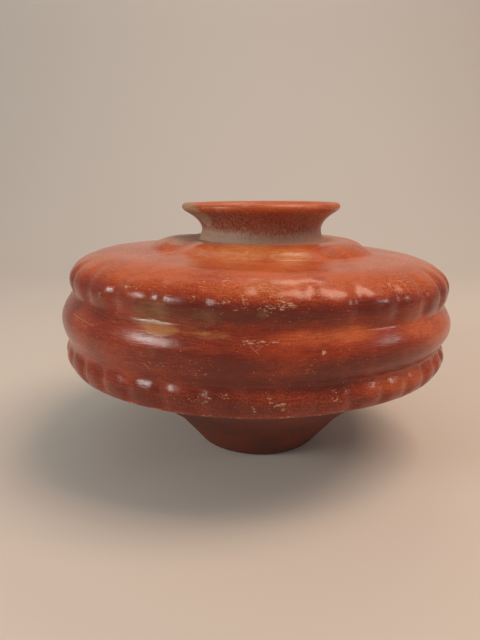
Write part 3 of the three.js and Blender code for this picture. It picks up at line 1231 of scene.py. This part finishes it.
@dataclass
class Jar:
    """The jar's wall as one closed mesh, with what each place of it carries stored as attributes.

    Rows are how far apart the mesh's rings lie on the parts of the wall, and softness is how far the
    corners of the outline are rounded, both in millimetres.
    """

    unroll_radius: ClassVar[float] = 150.0

    shape: JarShape = field(default_factory=JarShape)
    finish: SlipFinish = field(default_factory=SlipFinish)
    wear: Wear = field(default_factory=Wear)
    columns: int = 400
    underside_rows: float = 5.0
    edge_margin: float = 5.0
    body_rows: float = 1.75
    collar_rows: float = 1.25
    mouth_rows: float = 2.0
    inside_rows: float = 9.0
    outside_softness: float = 0.9
    inside_softness: float = 1.2
    marks: dict[Mask, list[Mark]] = field(default_factory=seen_marks)

    @staticmethod
    def resampled(
        points: np.ndarray, spacing: Callable[[np.ndarray], np.ndarray], soften: float
    ) -> np.ndarray:
        """Softens the corners of an outline and cuts it into rows.

        Args:
            points: The outline: radius, height.
            spacing: Gives the distance between rows at each height.
            soften: The reach of the softening, in millimetres.

        Returns:
            Rows: radius, height, the distance along the outline and the direction that the wall faces.
        """
        fine = 0.25
        length = np.r_[0, np.cumsum(np.linalg.norm(np.diff(points, axis=0), axis=1))]
        along = np.linspace(0, length[-1], int(length[-1] / fine) + 1)
        dense = np.stack([np.interp(along, length, points[:, k]) for k in (0, 1)], -1)
        reach = int(3 * soften / fine)
        bell = np.exp(-0.5 * (np.arange(-reach, reach + 1) * fine / soften) ** 2)
        bell /= bell.sum()
        ends = [2 * dense[:1] - dense[1 : reach + 1][::-1], 2 * dense[-1:] - dense[-reach - 1 : -1][::-1]]
        padded = np.concatenate([ends[0], dense, ends[1]])
        soft = np.stack([np.convolve(padded[:, k], bell, "valid") for k in (0, 1)], -1)
        soft[0], soft[-1] = dense[0], dense[-1]
        rows = np.r_[0, np.cumsum((along[1] - along[0]) / spacing(soft[:-1, 1]))]
        at = np.interp(np.linspace(0, rows[-1], max(2, round(rows[-1])) + 1), rows, along)
        way = np.gradient(soft, along, axis=0)
        way /= np.maximum(np.linalg.norm(way, axis=1), 1e-9)[:, None]
        columns = [soft[:, 0], soft[:, 1], along, way[:, 1], -way[:, 0]]
        return np.stack([np.interp(at, along, column) for column in columns], -1)

    def outside_spacing(self, height: np.ndarray) -> np.ndarray:
        """The distance between rows on the outside.

        Args:
            height: The heights to judge.

        Returns:
            The distance at each.
        """
        low = height < self.shape.edge_height - self.edge_margin
        body = np.where(low, self.underside_rows, self.body_rows)
        return np.where(height > self.shape.collar_height, self.collar_rows, body)

    def inside_spacing(self, height: np.ndarray) -> np.ndarray:
        """The distance between rows at each height of the inside."""
        return np.where(height > self.shape.throat_height, self.mouth_rows, self.inside_rows)

    def rows(self) -> tuple[np.ndarray, int]:
        """All rows of the wall, from the middle of the underside over the lip to the middle of the floor.

        Returns:
            The rows, and how many of them are on the outside.
        """
        s = self.shape
        seam = np.array([[(s.mouth_radius() + s.lip_radius - s.lip_rounding) / 2, s.top_height]])
        outside = np.concatenate([s.outside(), seam])
        outside = self.resampled(outside, self.outside_spacing, self.outside_softness)
        inside = np.concatenate([seam, s.inside()])
        inside = self.resampled(inside, self.inside_spacing, self.inside_softness)
        inside[:, 2] += outside[-1, 2]
        return np.concatenate([outside, inside[1:]]), len(outside)

    def build(self) -> bpy.types.Object:
        """Makes the wall, presses its creases and stores what each place of it carries.

        Returns:
            The piece.
        """
        s = self.shape
        rows, outside = self.rows()
        ringed = rows[1:-1]
        turn = np.arange(self.columns) * 2 * math.pi / self.columns

        def spread(column: int) -> np.ndarray:
            """One column of the rows, for every point of the mesh."""
            return np.r_[np.repeat(ringed[:, column], self.columns), rows[0, column], rows[-1, column]]

        radius, height, along, facing_out, facing_up = (spread(k) for k in range(5))
        turns = np.r_[np.tile(turn, len(ringed)), 0, 0]
        angles = s.angle(turns)
        is_outside = np.r_[np.repeat(np.arange(1, len(rows) - 1) < outside, self.columns), True, False]
        around = np.stack([np.cos(angles), np.sin(angles)], -1)
        outward = np.column_stack([around, np.zeros(len(around))]) * is_outside[:, None]
        x, y = (radius[:, None] * around).T
        tilt = (s.uneven("right", height) * x - s.uneven("front", height) * y) / s.edge_radius
        place = np.stack([x + s.uneven("shift", height), y, height + tilt], -1) * MM

        mesh = bpy.data.meshes.new("jar_wall")
        mesh.from_pydata(place.tolist(), [], self.faces(len(ringed)))
        mesh.shade_smooth()
        side = (np.degrees(angles) + 90 + 180) % 360 - 180
        seen_side = np.degrees(np.arctan2(place[:, 0], -place[:, 1]))
        seen_height = place[:, 2] / MM
        self.store(mesh, "turn", turns)
        self.store(mesh, "outward", outward)
        self.store(mesh, "facing", np.column_stack([around * facing_out[:, None], facing_up]))
        self.store(mesh, "worked", smoothstep(0, s.foot_height, height) * is_outside)
        self.store(mesh, "along", np.column_stack([around, along * MM]))
        unrolled = [np.radians(seen_side) * self.unroll_radius, seen_height, np.zeros(len(height))]
        self.store(mesh, "unrolled", np.column_stack(unrolled) * MM)
        self.store(mesh, "collar_cut", s.collar_cut(side))
        for band, weight in s.weights(height, radius).items():
            self.store(mesh, band.value, weight * is_outside)
        marked = self.marked(seen_side, seen_height, radius)
        for mask, cover in self.covers(marked, side, height, radius, is_outside).items():
            self.store(mesh, mask.value, cover)
        piece = bpy.data.objects.new("jar_wall", mesh)
        bpy.context.scene.collection.objects.link(piece)
        CreaseTree(s).run(piece, self.finish.material())
        return piece

    def faces(self, row_count: int) -> list[tuple[int, ...]]:
        """The faces of the closed wall: rings of four-sided faces with a fan at each end.

        Args:
            row_count: How many rows have a ring of points.

        Returns:
            The faces, pointing out.
        """
        n = self.columns
        first, last = row_count * n, row_count * n + 1
        end = (row_count - 1) * n
        made: list[tuple[int, ...]] = []
        for column in range(n):
            after = (column + 1) % n
            made.append((first, after, column))
            made.append((last, end + column, end + after))
            for low in range(0, end, n):
                high = low + n
                made.append((low + column, low + after, high + after, high + column))
        return made

    @staticmethod
    def store(mesh: bpy.types.Mesh, name: str, values: np.ndarray) -> None:
        """Stores numbers or vectors on the points of a mesh.

        Args:
            mesh: The mesh.
            name: The attribute's name.
            values: A number or a vector for each point.
        """
        kind, part = ("FLOAT_VECTOR", "vector") if values.ndim == 2 else ("FLOAT", "value")
        made = mesh.attributes.new(name, kind, "POINT")
        made.data.foreach_set(part, np.ascontiguousarray(values, np.float32).ravel())

    def marked(self, side: np.ndarray, height: np.ndarray, radius: np.ndarray) -> dict[Mask, np.ndarray]:
        """How much of each mask the single marks give each place of the wall.

        Args:
            side: Direction of each point from the front, in degrees.
            height: Its height above the floor.
            radius: Its radius.

        Returns:
            The cover of each mask.
        """
        cover = {mask: np.zeros(len(height)) for mask in Mask}
        for mask, marks in self.marks.items():
            for mark in marks:
                cover[mask] = np.maximum(cover[mask], mark.weight(side, height, radius))
        return cover

    def dust(self, side: np.ndarray, height: np.ndarray, radius: np.ndarray) -> np.ndarray:
        """The dust on the neck: thick round its foot, with a wavy upper edge, and a film above.

        Args:
            side: Direction of each point from the front, in degrees.
            height: Its height.
            radius: Its radius.

        Returns:
            The cover.
        """
        s, w = self.shape, self.wear
        waves = [size * np.sin(np.radians(side * count + turn)) for size, count, turn in w.dust_waves]
        neck = (radius < s.neck_radius + w.neck_reach) & (height > s.collar_height)
        low, high = (s.throat_height + part for part in w.dust_edge)
        thick = neck * (1 - smoothstep(low, high, height + sum(waves)))
        thick = thick * (w.dust + w.dust_on_left * smoothstep(*w.left_side, side))
        return np.maximum(thick, w.film * neck * (height < s.lip_foot_height))

    def covers(
        self,
        cover: dict[Mask, np.ndarray],
        side: np.ndarray,
        height: np.ndarray,
        radius: np.ndarray,
        is_outside: np.ndarray,
    ) -> dict[Mask, np.ndarray]:
        """Adds the dust, warmth with the shoulder's painted light, wear and bare clay of whole bands of the
        wall to the single marks.

        Args:
            cover: What the single marks give.
            side: Direction of each point from the front, in degrees.
            height: Its height.
            radius: Its radius.
            is_outside: Whether it is on the outside.

        Returns:
            The cover of each mask.
        """
        s, w = self.shape, self.wear
        below_edge = smoothstep(*(s.edge_height + part for part in w.matt_below_edge), height)
        # The shoulder's brighter band is partly painted light on its upward-facing top.
        shoulder = smoothstep(*(s.upper_groove_height + part for part in w.warm_and_lit_over_groove), height)
        shoulder *= height < s.neck_foot_height + w.collar_reach
        lip = smoothstep(*(s.lip_foot_height + part for part in w.lip_edge), height)
        edge = np.exp(-(((height - s.edge_height) / w.worn_reach) ** 2))
        worn = np.maximum(w.worn_edge * edge, w.worn_lip * lip)
        cover[Mask.DUST_AND_SHADE] = np.maximum(cover[Mask.DUST_AND_SHADE], self.dust(side, height, radius))
        cover[Mask.MATT] = 1 - below_edge
        cover[Mask.WARM_AND_PAINTED_LIGHT] = np.maximum(cover[Mask.WARM_AND_PAINTED_LIGHT], np.maximum(shoulder, w.warm_lip * lip))
        cover[Mask.WORN] = np.maximum(cover[Mask.WORN], worn)
        cover = {mask: values * is_outside for mask, values in cover.items()}
        rim_inside = ~is_outside * smoothstep(s.throat_height, s.lip_foot_height, height)
        cover[Mask.WARM_AND_PAINTED_LIGHT] = np.maximum(cover[Mask.WARM_AND_PAINTED_LIGHT], w.warm_lip * rim_inside)
        low, high = s.throat_height + w.bare_inside[0], s.lip_foot_height + w.bare_inside[1]
        cover[Mask.INSIDE] = np.where(is_outside, 0.0, 1 - smoothstep(low, high, height))
        return cover


@dataclass(frozen=True)
class SoftLight:
    """A soft rectangular light that faces a place in the studio.

    azimuth and elevation say where it hangs as seen from that place: its direction from the front, to the
    right if positive, and its height, both in degrees. distance, wide and tall are in metres, and glow is
    how bright it looks.
    """

    name: str
    azimuth: float
    elevation: float
    distance: float
    wide: float
    tall: float
    glow: Colour

    def build(self, middle: Vector) -> None:
        """Hangs the light.

        Args:
            middle: The place that it faces.
        """
        azimuth, elevation = math.radians(self.azimuth), math.radians(self.elevation)
        level = math.cos(elevation)
        way = Vector((math.sin(azimuth) * level, -math.cos(azimuth) * level, math.sin(elevation)))
        brightest = max(self.glow)
        data = bpy.data.lights.new(self.name, "AREA")
        data.shape = "RECTANGLE"
        data.size, data.size_y = self.wide, self.tall
        data.energy = brightest * math.pi * self.wide * self.tall
        data.color = tuple(part / brightest for part in self.glow)
        made = bpy.data.objects.new(self.name, data)
        made.location = middle + way * self.distance
        made.rotation_euler = way.to_track_quat("Z", "Y").to_euler()
        bpy.context.scene.collection.objects.link(made)


@dataclass
class Studio:
    """A pale paper sweep, soft lights round the jar, a wash of light on the paper and a plain room.

    Lengths are in metres. The lights round the jar face middle, and the wash, which hangs behind the jar
    and above it, faces washed.
    """

    paper: Colour = (0.62, 0.565, 0.51)
    floor_front: float = -1.6
    floor_back: float = 0.9
    sweep_radius: float = 0.8
    wall_top: float = 2.4
    half_width: float = 2.6
    middle: tuple[float, float, float] = (0.0, 0.0, 0.13)
    room: Colour = (0.295, 0.280, 0.269)
    wash: SoftLight = SoftLight("backdrop_wash", 0, 45, 1.3, 2.6, 0.6, (0.85, 1.00, 1.10))
    washed: tuple[float, float, float] = (-0.45, 1.7, 0.55)
    sweep_steps: int = 24
    lights: tuple[SoftLight, ...] = (
        SoftLight("left_window", -57, 20, 1.3, 0.54, 0.19, (17.2, 18.4, 17.4)),
        SoftLight("right_window", 77, 19, 1.4, 0.26, 0.07, (19.0, 18.2, 17.4)),
        SoftLight("ceiling_light", 76, 63, 1.8, 0.90, 1.10, (7.5, 5.4, 4.1)),
        SoftLight("collar_light", 162, 57, 1.8, 0.40, 0.22, (5.4, 4.6, 3.4)),
    )

    def build(self) -> None:
        """Makes the sweep, the lights and the room's own light."""
        self.build_sweep()
        for light in self.lights:
            light.build(Vector(self.middle))
        self.wash.build(Vector(self.washed))
        world = bpy.data.worlds.new("soft_room")
        world.use_nodes = True
        world.node_tree.nodes["Background"].inputs[0].default_value = (*self.room, 1.0)
        bpy.context.scene.world = world
        bpy.context.scene.view_settings.view_transform = "Standard"

    def build_sweep(self) -> None:
        """Makes the paper, level under the jar and curved up behind it."""
        points = [(self.floor_front, 0.0), (self.floor_back, 0.0)]
        for step in range(1, self.sweep_steps + 1):
            turn = math.pi / 2 * step / self.sweep_steps
            back = self.floor_back + self.sweep_radius * math.sin(turn)
            points.append((back, self.sweep_radius * (1 - math.cos(turn))))
        points.append((self.floor_back + self.sweep_radius, self.wall_top))
        verts = [(x, y, z) for y, z in points for x in (-self.half_width, self.half_width)]
        faces = [(2 * i, 2 * i + 1, 2 * i + 3, 2 * i + 2) for i in range(len(points) - 1)]
        mesh = bpy.data.meshes.new("paper_sweep")
        mesh.from_pydata(verts, [], faces)
        mesh.shade_smooth()
        mesh.materials.append(PlainFinish("pale_paper", self.paper).material())
        sweep = bpy.data.objects.new("paper_sweep", mesh)
        bpy.context.scene.collection.objects.link(sweep)


@dataclass(frozen=True)
class PhotoCamera:
    """A camera where the photo's camera stood."""

    place: tuple[float, float, float] = (0.001, -0.4312, 0.2034)
    pitch_down: float = 13.74
    turn_left: float = 2.18
    lens: float = 30.0
    sensor: float = 36.0
    nearest: float = 0.01

    def build(self) -> None:
        """Makes the camera and gives it to the scene."""
        data = bpy.data.cameras.new("photo_camera")
        data.sensor_width = self.sensor
        data.lens = self.lens
        data.clip_start = self.nearest
        made = bpy.data.objects.new("photo_camera", data)
        made.location = self.place
        pitch, turn = math.radians(90 - self.pitch_down), math.radians(self.turn_left)
        made.rotation_euler = (pitch, 0.0, turn)
        bpy.context.scene.collection.objects.link(made)
        bpy.context.scene.camera = made


def main() -> None:
    """Builds the scene round the frame and notes the sizes."""
    logging.basicConfig(level=logging.INFO, format="%(name)s: %(message)s")
    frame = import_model()
    low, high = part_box("water_jar")
    LOG.info("solid: %.1f mm across, %.1f mm high", (high.x - low.x) / MM, (high.z - low.z) / MM)
    PhotoCamera().build()
    Studio().build()
    jar = Jar().build()
    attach(jar, "root")
    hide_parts("water_jar")
    jar.data.calc_loop_triangles()
    LOG.info("wall: %d triangles, in place of %s", len(jar.data.loop_triangles), sorted(frame["nodes"]))


if __name__ == "__main__":
    main()
